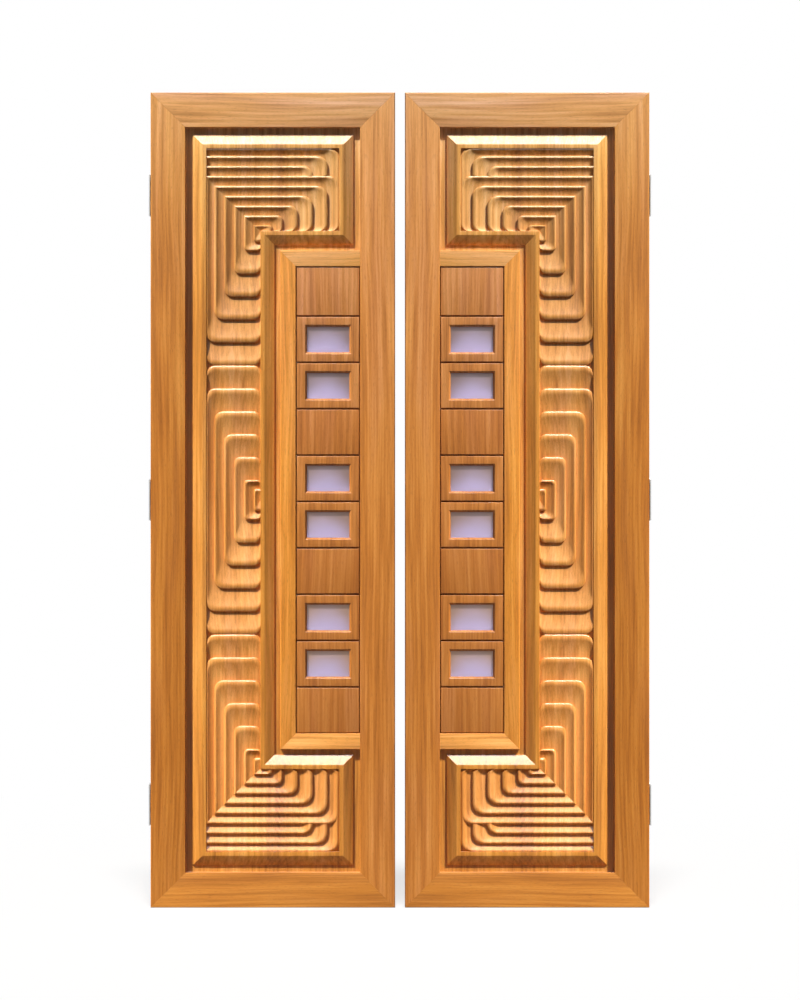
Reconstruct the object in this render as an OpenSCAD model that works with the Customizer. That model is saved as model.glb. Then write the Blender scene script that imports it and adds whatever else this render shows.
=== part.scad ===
// Double door: two carved teak leaves, the right one a mirror image of the left.
// A leaf has a mitred frame, a C-shaped panel carved in nested terraces, and in the
// mouth of the C an inner frame with a column of ten blocks, six of them glazed.
// X runs along the door, Y from its front to its back and Z up. The origin is on the
// floor line, midway between the leaves and midway through their thickness.

/* [Leaf] */
// Width of one leaf
leaf_w = 600; // [580:5:680]
// Height of a leaf
leaf_h = 2000; // [1980:10:2200]
// Thickness of the stiles and rails
leaf_t = 40; // [38:1:50]
// Clear gap between the two leaves
leaf_gap = 24; // [6:1:40]
// Width of the stiles and rails on the face
frame_w = 86; // [76:1:96]
// Chamfer on the long edges of the frame and the inner frame
arris = 1.5; // [0.5:0.5:3]

/* [Joinery] */
// Width of the grooves that hold the panel and the blocks
groove_w = 10; // [8:1:14]
// Depth of those grooves
groove_d = 11; // [8:1:14]
// Length of the tongues that sit in the grooves
tongue_l = 10; // [6:1:10]
// Clearance on each side of a tongue or a tenon
fit = 0.2; // [0.1:0.05:0.4]
// Height of the tenons at the corners of the frame
tenon_h = 36; // [24:1:40]
// Thickness of those tenons
tenon_t = 12; // [8:1:14]
// Wood left between a tenon's end and the outer edge of the stile
tenon_cover = 20; // [14:1:24]

/* [Panel] */
// Channel between the frame and the panel's bevel
channel_w = 17; // [12:0.5:20]
// Channel between the inner frame and the panel's bevel
inner_channel_w = 14.5; // [8:0.5:18]
// Width of the bevel round the panel
bevel_w = 24; // [18:0.5:30]
// Height of the step at the foot of the bevel
bevel_step = 2; // [1:0.5:4]
// Flat rim between the bevel and the carving
rim_w = 10; // [6:0.5:14]
// How far the panel's face lies behind the face of the frame
panel_drop = 1.5; // [0.5:0.5:3]

/* [Carving] */
// Depth of the carved field below the rim
carve_d = 9.5; // [6:0.5:10]
// How far the crests of the terraces lie below the rim
crest_drop = 1.5; // [0.5:0.25:2]
// Height of a terrace's foot above the floor of the field
foot_h = 0.5; // [0.3:0.1:1]
// Largest width over which a crest rolls over
roll_w = 16; // [12:0.5:17]
// Distance from the middle of a motif up to its first crest
crest_start = 14; // [10:0.5:16]
// How much further from the middle the crests lie on the hinge side
hinge_shift = 2.5; // [0:0.5:5]
// Spacing of the crests, up and to the hinge side
crest_pitch = 24.3; // [22:0.1:26]
// Distance from the inner corner to its imaginary first crest on the meeting side
side_start = 18; // [14:0.5:22]
// Spacing of the crests on the meeting side
side_pitch = 36.8; // [34:0.2:38]
// Width of the eye in the corner motifs
eye_w = 29; // [26:0.5:32]
// Half height of the eye in each motif
eye_h = 27.5; // [24:0.5:30]
// Largest radius at the corners of a terrace
turn_r = 24; // [16:0.5:28]
// Largest radius at the upper meeting-side corners
shoulder_r = 27; // [18:0.5:30]
// Largest radius where a terrace ends against the rim
end_r = 18; // [12:0.5:22]

/* [Inner frame] */
// Width of the bars of the inner frame on the face
bar_w = 39; // [36:0.5:48]
// How far the bars lie behind the face of the frame
bar_drop = 1; // [0.5:0.5:2]

/* [Blocks] */
// Width of the column of blocks
block_w = 157; // [145:0.5:170]
// Height of one block
block_h = 113.8; // [110:0.2:120]
// How much taller the topmost block is
head_extra = 8; // [0:1:16]
// How far the blocks lie behind the face of the frame
block_drop = 3.5; // [2:0.5:5]
// Groove between the faces of two blocks
block_gap = 3.8; // [2:0.2:5]
// Chamfer round the faces of each block
block_chamfer = 1; // [0.5:0.1:2]
// Width of a window
window_w = 104; // [90:1:112]
// Height of a window
window_h = 63; // [56:1:72]
// Bevel round the front of a window
window_bevel = 4.5; // [2:0.5:5]
// Depth of the glass behind the face of its block
glass_drop = 8; // [6:0.5:11]
// Thickness of the glass
glass_t = 5; // [4:0.5:6]
// Width of the rebate that holds the glass and its bead
rebate_w = 6; // [5:0.5:8]

/* [Hinges] */
// Height of a hinge
hinge_h = 100; // [75:5:125]
// Distance from the ends of a leaf to the middle of the outer hinges
hinge_inset = 250; // [180:10:320]
// Width of a hinge plate from the back of the leaf
plate_w = 30; // [26:0.5:33]
// Thickness of a hinge plate
plate_t = 2.5; // [2:0.25:3]
// Clear gap between the edge of the leaf and the jamb
hinge_gap = 3; // [2:0.5:4]
// Outer radius of a knuckle
knuckle_r = 6; // [5.5:0.25:7]
// Gap between a knuckle and the back of the leaf
knuckle_stand = 0.5; // [0.4:0.1:1.5]
// Gap between neighbouring knuckles
knuckle_gap = 0.3; // [0.2:0.05:0.6]
// Clearance round a knuckle where the other plate is cut away
knuckle_room = 0.4; // [0.3:0.1:0.8]
// Radius of the pin
pin_r = 3; // [2.5:0.25:3.5]
// Clearance round the pin
pin_fit = 0.05; // [0.03:0.01:0.08]
// Radius of the pin's head
pin_head_r = 5; // [4.25:0.25:5.5]
// Height of the pin's head
pin_head_h = 2.5; // [1.5:0.25:4]
// Length of the pin below the lowest knuckle
pin_tip_h = 2; // [1:0.25:4]
// Radius of a screw's shank
screw_r = 2.1; // [1.75:0.05:2.4]
// Radius of a screw's head
screw_head_r = 4.2; // [3.6:0.1:4.6]
// Height of a screw's head
screw_head_h = 2.1; // [1.6:0.1:2.4]
// Length of a screw
screw_l = 30; // [20:1:40]
// Radius of the holes in the plates
hole_r = 2.4; // [2.2:0.05:2.8]

/* [Hidden] */
SIDES = ["left", "right"];
$fn = 64;

// Numbers of things
block_order = ["plain", "window", "window", "plain", "window", "window", "plain",
    "window", "window", "plain"];
block_count = len(block_order);
plain_places = [for (i = [0 : block_count - 1]) if (block_order[i] == "plain") i];
window_places = [for (i = [0 : block_count - 1]) if (block_order[i] == "window") i];
hinge_count = 3;
knuckle_count = 5;
corner_crests = 6;
upper_first = 3;
arm_crests = 6;
roll_steps = 4;

// Cuts run past the surface by this much, and added pieces are rooted this deep
overrun = 2;
root = 1;

// Shares
first_reach_share = 0.15;
crest_w_share = 0.5;
roll_w_share = 0.3;
roll_r_share = 0.9;
end_r_share = 0.25;
roll_d_share = 0.8;
hollow_shares = [[0, 0], [0.45, 0.16], [0.75, 0.48], [1, 1]];
point_share = 0.25;
slot_w_share = 0.2;
slot_l_share = 0.65;
slot_d_share = 0.55;
tip_share = 0.35;
screw_z_shares = [-0.38, -0.13, 0.13, 0.38];
screw_y_shares = [0.28, 0.68, 0.28, 0.68];

// Levels through the thickness, measured from the middle of the leaf
core_t = groove_w - 2 * fit;
panel_y = leaf_t / 2 - panel_drop;
floor_y = panel_y - carve_d;
crest_h = carve_d - crest_drop;
roll_d = roll_d_share * crest_h;
bar_t = leaf_t - 2 * bar_drop;
block_t = leaf_t - 2 * block_drop;
glass_y = block_t / 2 - glass_drop;

// Layout of a leaf, with u from the hinge edge and z from the bottom edge
opening_u = leaf_w - frame_w;
column_u = opening_u - block_w;
bar_u = column_u - bar_w;
mid_z = leaf_h / 2;
column_h = block_count * block_h + head_extra;
column_top = mid_z + column_h / 2;
bar_top = column_top + bar_w;
foot_edge = frame_w + channel_w;
field_edge = foot_edge + bevel_w + rim_w;
field_notch = inner_channel_w + bevel_w + rim_w;

// Carved field: width of its upright arm, height of its other arms, and half its mouth
arm_w = bar_u - field_notch - field_edge;
mouth_h = column_h / 2 + bar_w + field_notch;
arm_h = leaf_h / 2 - field_edge - mouth_h;
shoulder_w = leaf_w - field_edge - (bar_u - field_notch);
arm_split = mouth_h / 2;
arm_pitch = arm_split * (1 - first_reach_share) / (arm_crests - 1);
upper_crests = max(0, ceil((arm_h - crest_reach(corner_crests - 1)) / crest_pitch));

// Hinges
knuckle_h = hinge_h / knuckle_count;
axis_u = -hinge_gap / 2;
axis_y = leaf_t / 2 + knuckle_r + knuckle_stand;
plate_reach = plate_w + knuckle_r + knuckle_stand;
hinge_places = [for (i = [0 : hinge_count - 1])
    hinge_inset + i * (leaf_h - 2 * hinge_inset) / (hinge_count - 1)];
jamb_knuckles = [for (k = [0 : 2 : knuckle_count - 1]) k];
door_knuckles = [for (k = [1 : 2 : knuckle_count - 1]) k];
screw_spots = [for (i = [0 : len(screw_z_shares) - 1])
    [-plate_reach + screw_y_shares[i] * plate_w, screw_z_shares[i] * hinge_h]];

// Reach of a crest from the middle of its motif. Index -1 stands for the middle itself.
function crest_reach(j) = crest_start + j * crest_pitch;
function side_reach(j) = j < 1 ? eye_w + j * side_pitch
    : min(side_start + j * side_pitch, shoulder_w + root);
function arm_reach(j) = j < 1 ? eye_h + j * arm_pitch : arm_split - (arm_crests - j) * arm_pitch;
function hinge_reach(j) = crest_reach(j) + hinge_shift;
function left_reach(j) = min(hinge_reach(j), arm_w + root);
function top_reach(j) = min(crest_reach(j), arm_h + root);
function turn(j) = min(turn_r, crest_start / 2 + j * crest_start / 3);
function shoulder(j) = min(shoulder_r, crest_start / 2 + j * crest_start / 2);
function end(reach) = min(end_r, end_r_share * reach);

// Width over which a crest rolls over, from the reach of the crest inside it to its own.
function roll_of(from, to) = min(roll_w, roll_w_share * (to - from));

// Outline of a C that opens to the meeting side: edge is its distance from the edges
// of the leaf, notch its distance from the inner frame.
function c_points(edge, notch) = let(
        near = edge, far = leaf_w - edge, low = edge, high = leaf_h - edge,
        back = bar_u - notch, mouth_low = leaf_h - bar_top - notch, mouth_high = bar_top + notch)
    [[near, low], [far, low], [far, mouth_low], [back, mouth_low],
     [back, mouth_high], [far, mouth_high], [far, high], [near, high]];

NODES = [for (side = SIDES) each concat(
    [for (name = ["hinge_stile", "meeting_stile", "top_rail", "bottom_rail", "carved_panel",
        "inner_top_bar", "inner_side_bar", "inner_bottom_bar"]) str(side, "_", name)],
    [for (i = [1 : len(plain_places)]) str(side, "_plain_block_", i)],
    [for (i = [1 : len(window_places)]) str(side, "_window_block_", i)],
    [for (i = [1 : len(window_places)]) str(side, "_glass_pane_", i)],
    [for (name = ["glazing_beads", "hinge_plates", "hinge_screws", "jamb_plates",
        "hinge_pins"]) str(side, "_", name)])];
node = "all";

function wanted(side, name) = node == "all" || node == str(side, "_", name);

// Places a leaf, drawn from its hinge edge, on its side of the door.
module on_side(side) {
    mirror([side == "right" ? 1 : 0, 0, 0])
        translate([-leaf_gap / 2 - leaf_w, 0, 0]) children();
}

// Stands a drawing up, so that its plane faces the front and its height runs forward.
module facing_front() {
    rotate([90, 0, 0]) children();
}

// Prism through the thickness of the leaf over an outline in u and z.
module through(points, t = leaf_t + 2 * overrun) {
    facing_front() linear_extrude(t, center = true) polygon(points);
}

// Section of a frame member: its outer edge is at 0 and a groove runs along its inner edge.
module frame_section(w, t, outer_groove = false, inner_groove = true) {
    half = t / 2;
    lip = groove_w / 2;
    difference() {
        polygon([[arris, -half], [w - arris, -half], [w, -half + arris], [w, half - arris],
            [w - arris, half], [arris, half], [0, half - arris], [0, -half + arris]]);
        if (inner_groove)
            translate([w - groove_d, -lip]) square([groove_d + overrun, groove_w]);
        if (outer_groove)
            translate([-overrun, -lip]) square([groove_d + overrun, groove_w]);
    }
}

// Frame member that stands on its mitre, with its outer edge at u = 0.
module mitred_member(l) {
    intersection() {
        linear_extrude(l) frame_section(frame_w, leaf_t);
        through([[-overrun, -overrun], [-overrun, l + overrun],
            [frame_w + overrun, l - frame_w - overrun], [frame_w + overrun, frame_w + overrun]]);
    }
}

// Tenon at the lower end of a lying member, drawn in the member's own direction.
module tenon(room = 0) {
    over = (frame_w - groove_d - tenon_h) / 2;
    translate([over - room, -tenon_t / 2 - room, tenon_cover - room])
        cube([tenon_h + 2 * room, tenon_t + 2 * room, over + tenon_h - tenon_cover + groove_d + room]);
}

// Lays an upright member down as a rail, its outer edge along the top of the leaf.
module as_top_rail() {
    translate([0, 0, leaf_h]) rotate([0, 90, 0]) children();
}

// Repeats children at the bottom of the leaf as well.
module top_and_bottom() {
    children();
    translate([0, 0, leaf_h]) mirror([0, 0, 1]) children();
}

module hinge_stile() {
    color("#c98a45") difference() {
        mitred_member(leaf_h);
        top_and_bottom() as_top_rail() tenon(fit);
        for (z = hinge_places) {
            translate([-overrun, leaf_t / 2 - plate_w, z - hinge_h / 2])
                cube([plate_t + overrun, plate_w + overrun, hinge_h]);
            translate([axis_u, axis_y, z]) at_screws()
                translate([0, 0, -overrun]) cylinder(r = screw_r + fit, h = screw_l + 2 * overrun);
        }
    }
}

module meeting_stile() {
    color("#cf9350") translate([leaf_w, 0, 0]) mirror([1, 0, 0]) difference() {
        mitred_member(leaf_h);
        top_and_bottom() as_top_rail() tenon(fit);
    }
}

module rail() {
    as_top_rail() {
        mitred_member(leaf_w);
        tenon();
        translate([0, 0, leaf_w]) mirror([0, 0, 1]) tenon();
    }
}

module top_rail() {
    color("#c8843f") rail();
}

module bottom_rail() {
    color("#cc8b45") translate([0, 0, leaf_h]) mirror([0, 0, 1]) rail();
}

// Block with bevelled edges on both faces, over a rectangle in u and z.
module raised_block(u0, u1, z0, z1) {
    intersection() {
        translate([0, 0, z0 - overrun]) linear_extrude(z1 - z0 + 2 * overrun)
            bevel_section(u0, u1);
        translate([u0 - overrun, 0, 0]) rotate([0, 90, 0]) mirror([1, 0, 0])
            linear_extrude(u1 - u0 + 2 * overrun) bevel_section(z0, z1);
    }
}

// Terrace over an outline. Its corners are [point, quarter, radius] and its sides are
// [direction, reach of the crest inside it, reach of its own crest]. A side that has no
// room to rise, because both crests end at the rim, is left out.
module terrace(outline, corners, sides) {
    open = [for (s = sides) if (s[2] - s[1] > crest_w_share * crest_h) s];
    slim = min(concat([roll_w], [for (s = open) roll_of(s[1], s[2])]));
    intersection() {
        difference() {
            translate([0, 0, -root]) linear_extrude(crest_h + 2 * root) difference() {
                polygon(outline);
                for (c = corners) corner_waste(c[0], c[1], c[2]);
            }
            for (s = open) along(s[0]) polygon(roll_waste(s[2], roll_of(s[1], s[2])));
            for (c = corners) corner_roll(c[0], c[1], c[2], min(slim, roll_r_share * c[2]));
        }
        union() for (s = open) along(s[0]) polygon(hollow_ramp(s[1], s[2]));
    }
}

// Draws a section along an edge that faces the given direction.
module along(direction) {
    rotate([0, 0, direction]) facing_front() linear_extrude(2 * leaf_h, center = true) children();
}

// Section of a terrace: a hollow rise from the crest inside it up to its own crest.
function hollow_ramp(from, to) = let(
        rise = crest_h - foot_h, run = to - from - crest_w_share * roll_of(from, to),
        start = from - (foot_h + root) / rise * run)
    concat([[start, -root]],
        [for (p = hollow_shares) [from + p.x * run, foot_h + p.y * rise]],
        [[to + overrun, crest_h], [to + overrun, -root]]);

// Section of the wood above a crest that rolls over: w wide and roll_d deep.
function roll_waste(to, w) = let(
        brow = [to - w, crest_h], top = [to, crest_h], lip = [to, crest_h - roll_d])
    concat([for (i = [0 : roll_steps]) let(t = i / roll_steps)
            (1 - t) * (1 - t) * brow + 2 * t * (1 - t) * top + t * t * lip],
        [[to + overrun, crest_h - roll_d], [to + overrun, crest_h + overrun],
         [to - w, crest_h + overrun]]);

// Waste outside a rounded corner: the corner is at p, and the solid lies in the
// quarter that starts at the given angle.
module corner_waste(p, quarter, r) {
    translate(p) rotate(quarter) difference() {
        translate([-overrun, -overrun]) square(r + overrun);
        translate([r, r]) circle(r);
    }
}

// The same crest rolled over round that corner, over a width w.
module corner_roll(p, quarter, r, w) {
    translate(p) rotate(quarter) translate([r, r, 0])
        rotate_extrude(angle = 90, start = 180) polygon(roll_waste(r, w));
}

// Terrace round the inner corner of the C, measured from that corner.
module corner_terrace(j) {
    top = top_reach(j);
    left = left_reach(j);
    right = side_reach(j);
    down = arm_reach(j);
    terrace([[-left, top], [right, top], [right, -root], [root, -root], [root, -down], [-left, -down]],
        [[[right, top], 180, shoulder(j)], [[right, -root], 90, end(top)],
         [[-left, -down], 0, turn(j)], [[root, -down], 90, end(left)]],
        [[90, top_reach(j - 1), top], [180, hinge_reach(j - 1), hinge_reach(j)],
         [0, side_reach(j - 1), right], [270, arm_reach(j - 1), down]]);
}

// Last terrace of a corner motif, which fills the upright arm up to the next motif.
module closing_terrace() {
    left = arm_w + root;
    down = arm_reach(arm_crests);
    terrace([[-left, 0], [root, 0], [root, -down], [-left, -down]],
        [[[-left, -down], 0, turn_r], [[root, -down], 90, end_r]],
        [[270, arm_reach(arm_crests - 1), down]]);
}

// Terraces that fill an arm from the last corner crest to the rim. The outermost one
// reaches down behind the rounded shoulder of that crest.
module upper_terrace(i) {
    base = crest_reach(corner_crests - 1);
    step = upper_first + i;
    left = arm_w + root;
    right = side_reach(step);
    top = min(base + (i + 1) * crest_pitch, arm_h + root);
    low = base - (step < corner_crests - 1 ? 0 : shoulder_r);
    terrace([[-left, low], [right, low], [right, top], [-left, top]],
        [[[right, top], 180, shoulder_r]],
        [[90, base + i * crest_pitch, top], [0, side_reach(step - 1), right]]);
}

// Terrace of the middle motif, the same above and below its middle.
module middle_terrace(j) {
    left = left_reach(j);
    up = arm_reach(j);
    terrace([[-left, -up], [root, -up], [root, up], [-left, up]],
        [[[-left, -up], 0, turn(j)], [[-left, up], 270, turn(j)], [[root, -up], 90, end(left)],
         [[root, up], 180, end(left)]],
        concat([[90, arm_reach(j - 1), up], [270, arm_reach(j - 1), up]],
            j < arm_crests ? [[180, hinge_reach(j - 1), hinge_reach(j)]] : []));
}

// All terraces, with the origin at the middle of the upright arm's inner rim.
module terraces() {
    for (flip = [0, 1]) mirror([0, flip, 0]) translate([0, mouth_h, 0]) {
        for (j = [0 : corner_crests - 1]) corner_terrace(j);
        closing_terrace();
        for (i = [0 : 1 : upper_crests - 1]) upper_terrace(i);
    }
    for (j = [0 : arm_crests]) middle_terrace(j);
}

// Section of a panel with a step and a bevel along both edges of both faces.
module bevel_section(a, b) {
    foot = core_t / 2 + bevel_step;
    polygon([[a, -foot], [a + bevel_w, -panel_y], [b - bevel_w, -panel_y], [b, -foot],
        [b, foot], [b - bevel_w, panel_y], [a + bevel_w, panel_y], [a, foot]]);
}

// C-shaped panel: a tongue all round, bevelled faces and the carved field.
module carved_panel() {
    color("#d39a58") {
        difference() {
            union() {
                through(c_points(frame_w - tongue_l, -tongue_l), core_t);
                panel_arms();
            }
            translate([0, -floor_y, 0]) facing_front()
                linear_extrude(carve_d + overrun) polygon(c_points(field_edge, field_notch));
        }
        translate([bar_u - field_notch, -floor_y, mid_z]) facing_front() terraces();
    }
}

// The three bevelled arms of the C.
module panel_arms() {
    near = foot_edge;
    far = leaf_w - foot_edge;
    back = bar_u - inner_channel_w;
    top = leaf_h - foot_edge;
    mouth = bar_top + inner_channel_w;
    raised_block(near, back, foot_edge, top);
    raised_block(near, far, mouth, top);
    raised_block(near, far, foot_edge, leaf_h - mouth);
}

// Upright bar of the inner frame, mitred at both ends.
module inner_side_bar() {
    low = leaf_h - bar_top;
    color("#b9772f") intersection() {
        translate([bar_u, 0, low]) linear_extrude(bar_top - low)
            frame_section(bar_w, bar_t, outer_groove = true);
        through([[bar_u - overrun, low - overrun], [bar_u - overrun, bar_top + overrun],
            [column_u + overrun, column_top - overrun],
            [column_u + overrun, leaf_h - column_top + overrun]]);
    }
}

// Lying bar of the inner frame: mitred at one end, with a stub tenon in the meeting stile.
module inner_bar() {
    stub_h = bar_w - 2 * groove_d;
    intersection() {
        translate([0, 0, bar_top]) rotate([0, 90, 0]) linear_extrude(opening_u)
            frame_section(bar_w, bar_t, outer_groove = true, inner_groove = false);
        through([[bar_u - overrun, bar_top + overrun], [opening_u, bar_top + overrun],
            [opening_u, column_top - overrun], [column_u + overrun, column_top - overrun]]);
    }
    translate([opening_u - root, -core_t / 2, column_top + groove_d])
        cube([tongue_l + root, core_t, stub_h]);
}

module inner_top_bar() {
    color("#bd7c35") inner_bar();
}

module inner_bottom_bar() {
    color("#bd7c35") translate([0, 0, leaf_h]) mirror([0, 0, 1]) inner_bar();
}

// Height of a block, and the height of its middle, counted from the top of the column.
function block_rise(i) = block_h + (i == 0 ? head_extra : 0);
function block_z(i) = column_top - (i == 0 ? 0 : head_extra + i * block_h) - block_rise(i) / 2;

// Places children at the middle of a block.
module at_block(i) {
    translate([column_u + block_w / 2, 0, block_z(i)]) children();
}

// Section of a block: its core meets its neighbours, and its faces leave a groove.
module block_section(w) {
    x = w / 2;
    y = block_t / 2;
    c = block_chamfer;
    face = x - block_gap / 2;
    lip = core_t / 2;
    polygon([[-x, -lip], [-face, -lip], [-face, -y + c], [-face + c, -y], [face - c, -y],
        [face, -y + c], [face, -lip], [x, -lip], [x, lip], [face, lip], [face, y - c],
        [face - c, y], [-face + c, y], [-face, y - c], [-face, lip], [-x, lip]]);
}

// Block with a tongue at each side.
module block_body(h = block_h) {
    intersection() {
        linear_extrude(h, center = true) block_section(block_w);
        rotate([0, 90, 0]) linear_extrude(block_w, center = true) block_section(h);
    }
    cube([block_w + 2 * tongue_l, core_t, h - block_gap], center = true);
}

module plain_block(i) {
    color("#d6a062") at_block(i) block_body(block_rise(i));
}

// Wedge-sided cut through the front of a window, wider at the face.
module window_mouth() {
    face = block_t / 2;
    function section(w) = [[-w / 2, -face + window_bevel], [-w / 2 - window_bevel - overrun, -face - overrun],
        [w / 2 + window_bevel + overrun, -face - overrun], [w / 2, -face + window_bevel]];
    intersection() {
        linear_extrude(window_h + 2 * window_bevel + 2 * overrun, center = true)
            polygon(section(window_w));
        rotate([0, 90, 0]) linear_extrude(window_w + 2 * window_bevel + 2 * overrun, center = true)
            polygon(section(window_h));
    }
}

module window_block(i) {
    color("#d6a062") at_block(i) difference() {
        block_body();
        cube([window_w, block_t + 2 * overrun, window_h], center = true);
        window_mouth();
        translate([0, (block_t + 2 * overrun) / 2 - glass_y, 0])
            cube([window_w + 2 * rebate_w, block_t + 2 * overrun, window_h + 2 * rebate_w], center = true);
    }
}

module glass_pane(i) {
    color("#e6e4f2") at_block(i) translate([0, glass_t / 2 - glass_y, 0])
        cube([window_w + 2 * (rebate_w - fit), glass_t, window_h + 2 * (rebate_w - fit)], center = true);
}

// Beads that hold the panes in from the back.
module glazing_beads() {
    l = block_t / 2 + glass_y - glass_t;
    color("#c07f3a") for (i = window_places) at_block(i)
        translate([0, glass_t - glass_y + l / 2, 0]) difference() {
            cube([window_w + 2 * (rebate_w - fit), l, window_h + 2 * (rebate_w - fit)], center = true);
            cube([window_w, l + 2 * overrun, window_h], center = true);
        }
}

// Places children at each hinge's axis, at the middle of the hinge.
module at_hinges() {
    for (z = hinge_places) translate([axis_u, axis_y, z]) children();
}

// Places children at each screw of a plate, at its outer face, pointing into the wood.
// The jamb's plate has the rows the other way up, so that no two heads meet.
module at_screws(way = 1) {
    for (s = screw_spots) translate([hinge_gap / 2, s.x, way * s.y]) rotate([0, 90, 0]) children();
}

// Room for knuckle k of the other half.
module knuckle_space(k) {
    translate([0, 0, -hinge_h / 2 + k * knuckle_h - knuckle_gap / 2])
        cylinder(r = knuckle_r + knuckle_room, h = knuckle_h + knuckle_gap);
}

// One half of a hinge about its axis, with the plate on the leaf's side.
module hinge_half(other, way) {
    bore_r = pin_r + pin_fit;
    difference() {
        union() {
            translate([hinge_gap / 2, -plate_reach, -hinge_h / 2]) cube([plate_t, plate_reach, hinge_h]);
            cylinder(r = knuckle_r, h = hinge_h, center = true);
        }
        translate([0, 0, -hinge_h / 2 - overrun]) cylinder(r = bore_r, h = hinge_h + 2 * overrun);
        for (k = other) knuckle_space(k);
        at_screws(way) {
            translate([0, 0, -overrun]) cylinder(r = hole_r, h = plate_t + 2 * overrun);
            cylinder(r1 = screw_head_r + pin_fit, r2 = screw_r + pin_fit, h = screw_head_h);
        }
    }
}

module hinge_plates() {
    color("#b9bcc0") at_hinges() hinge_half(jamb_knuckles, 1);
}

module jamb_plates() {
    color("#b9bcc0") at_hinges() mirror([1, 0, 0]) hinge_half(door_knuckles, -1);
}

module hinge_pins() {
    top = hinge_h / 2;
    bottom = -hinge_h / 2 - pin_tip_h;
    tip = tip_share * pin_r;
    brow = tip_share * pin_head_h;
    color("#a8abb0") at_hinges() rotate_extrude() polygon([[0, bottom], [pin_r - tip, bottom],
        [pin_r, bottom + tip], [pin_r, top], [pin_head_r, top], [pin_head_r, top + pin_head_h - brow],
        [pin_head_r - brow, top + pin_head_h], [0, top + pin_head_h]]);
}

// Countersunk screw with a crossed slot, its head at the origin.
module screw() {
    slot_l = slot_l_share * screw_head_r * 2;
    slot_w = slot_w_share * screw_head_r * 2;
    slot_d = slot_d_share * screw_head_h;
    point = point_share * screw_l;
    difference() {
        rotate_extrude() polygon([[0, 0], [screw_head_r, 0], [screw_r, screw_head_h],
            [screw_r, screw_l - point], [0, screw_l]]);
        for (turn = [0, 90]) rotate(turn) cube([slot_l, slot_w, 2 * slot_d], center = true);
    }
}

module hinge_screws() {
    color("#b0b3b8") at_hinges() at_screws() screw();
}

for (side = SIDES) on_side(side) {
    if (wanted(side, "hinge_stile")) hinge_stile();
    if (wanted(side, "meeting_stile")) meeting_stile();
    if (wanted(side, "top_rail")) top_rail();
    if (wanted(side, "bottom_rail")) bottom_rail();
    if (wanted(side, "carved_panel")) carved_panel();
    if (wanted(side, "inner_top_bar")) inner_top_bar();
    if (wanted(side, "inner_side_bar")) inner_side_bar();
    if (wanted(side, "inner_bottom_bar")) inner_bottom_bar();
    for (i = [1 : len(plain_places)])
        if (wanted(side, str("plain_block_", i))) plain_block(plain_places[i - 1]);
    for (i = [1 : len(window_places)]) {
        if (wanted(side, str("window_block_", i))) window_block(window_places[i - 1]);
        if (wanted(side, str("glass_pane_", i))) glass_pane(window_places[i - 1]);
    }
    if (wanted(side, "glazing_beads")) glazing_beads();
    if (wanted(side, "hinge_plates")) hinge_plates();
    if (wanted(side, "hinge_screws")) hinge_screws();
    if (wanted(side, "jamb_plates")) jamb_plates();
    if (wanted(side, "hinge_pins")) hinge_pins();
}
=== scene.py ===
"""Dresses the carved double door: teak with a satin varnish, frosted panes and satin steel hinges."""

import math
import random

import bmesh
import bpy
from bpy.props import FloatProperty, FloatVectorProperty, PointerProperty
from mathutils import Matrix, Vector


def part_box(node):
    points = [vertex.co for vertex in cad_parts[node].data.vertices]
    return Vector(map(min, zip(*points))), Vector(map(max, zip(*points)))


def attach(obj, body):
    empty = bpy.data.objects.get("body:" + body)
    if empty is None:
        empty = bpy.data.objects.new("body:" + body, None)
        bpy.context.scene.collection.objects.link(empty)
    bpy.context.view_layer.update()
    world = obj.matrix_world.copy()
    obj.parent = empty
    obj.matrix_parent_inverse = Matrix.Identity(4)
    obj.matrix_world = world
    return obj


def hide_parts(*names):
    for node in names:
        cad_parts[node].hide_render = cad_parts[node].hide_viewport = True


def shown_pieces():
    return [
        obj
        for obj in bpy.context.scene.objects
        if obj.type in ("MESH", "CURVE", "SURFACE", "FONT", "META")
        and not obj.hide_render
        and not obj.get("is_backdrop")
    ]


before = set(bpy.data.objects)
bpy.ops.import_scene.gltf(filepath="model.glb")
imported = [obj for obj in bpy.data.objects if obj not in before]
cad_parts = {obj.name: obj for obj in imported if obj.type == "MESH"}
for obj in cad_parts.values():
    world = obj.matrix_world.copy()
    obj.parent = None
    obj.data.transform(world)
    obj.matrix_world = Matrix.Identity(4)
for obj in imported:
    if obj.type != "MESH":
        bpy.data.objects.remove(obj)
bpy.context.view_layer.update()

bl_info = {
    "name": "Carved double door",
    "version": (1, 0, 0),
    "blender": (4, 5, 0),
    "location": "View3D > Sidebar > Door",
    "description": "Dresses a pair of carved teak leaves with their panes and hinges",
    "category": "Object",
}

# The two leaves, with the sign of X on their side of the door
SIDES = {"left": -1, "right": 1}

# Layout of a leaf, read from the left one. u runs from the hinge edge to the meeting edge.
STILE_LOW, STILE_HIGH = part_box("left_hinge_stile")
PANEL_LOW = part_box("left_carved_panel")[0]
BAR_LOW, BAR_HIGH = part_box("left_inner_side_bar")
HINGE_EDGE = -STILE_LOW.x
LEAF_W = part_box("left_meeting_stile")[1].x - STILE_LOW.x
LEAF_H = STILE_HIGH.z
FRAME_W = STILE_HIGH.x - STILE_LOW.x
TONGUE_EDGE = PANEL_LOW.x - STILE_LOW.x
TONGUE_L = FRAME_W - TONGUE_EDGE
BAR_EDGE = BAR_LOW.x - STILE_LOW.x
BAR_TOP = BAR_HIGH.z
MID_Z = LEAF_H / 2

# Least divisor in the nodes, and the distance below which two points are one
TINY = 1e-6
MERGE = 1e-6


def length(name, description, default, most=1.0):
    """A length in metres that a user may change."""
    return FloatProperty(name=name, description=description, default=default, min=0, soft_max=most,
                         unit="LENGTH", precision=4)


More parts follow.
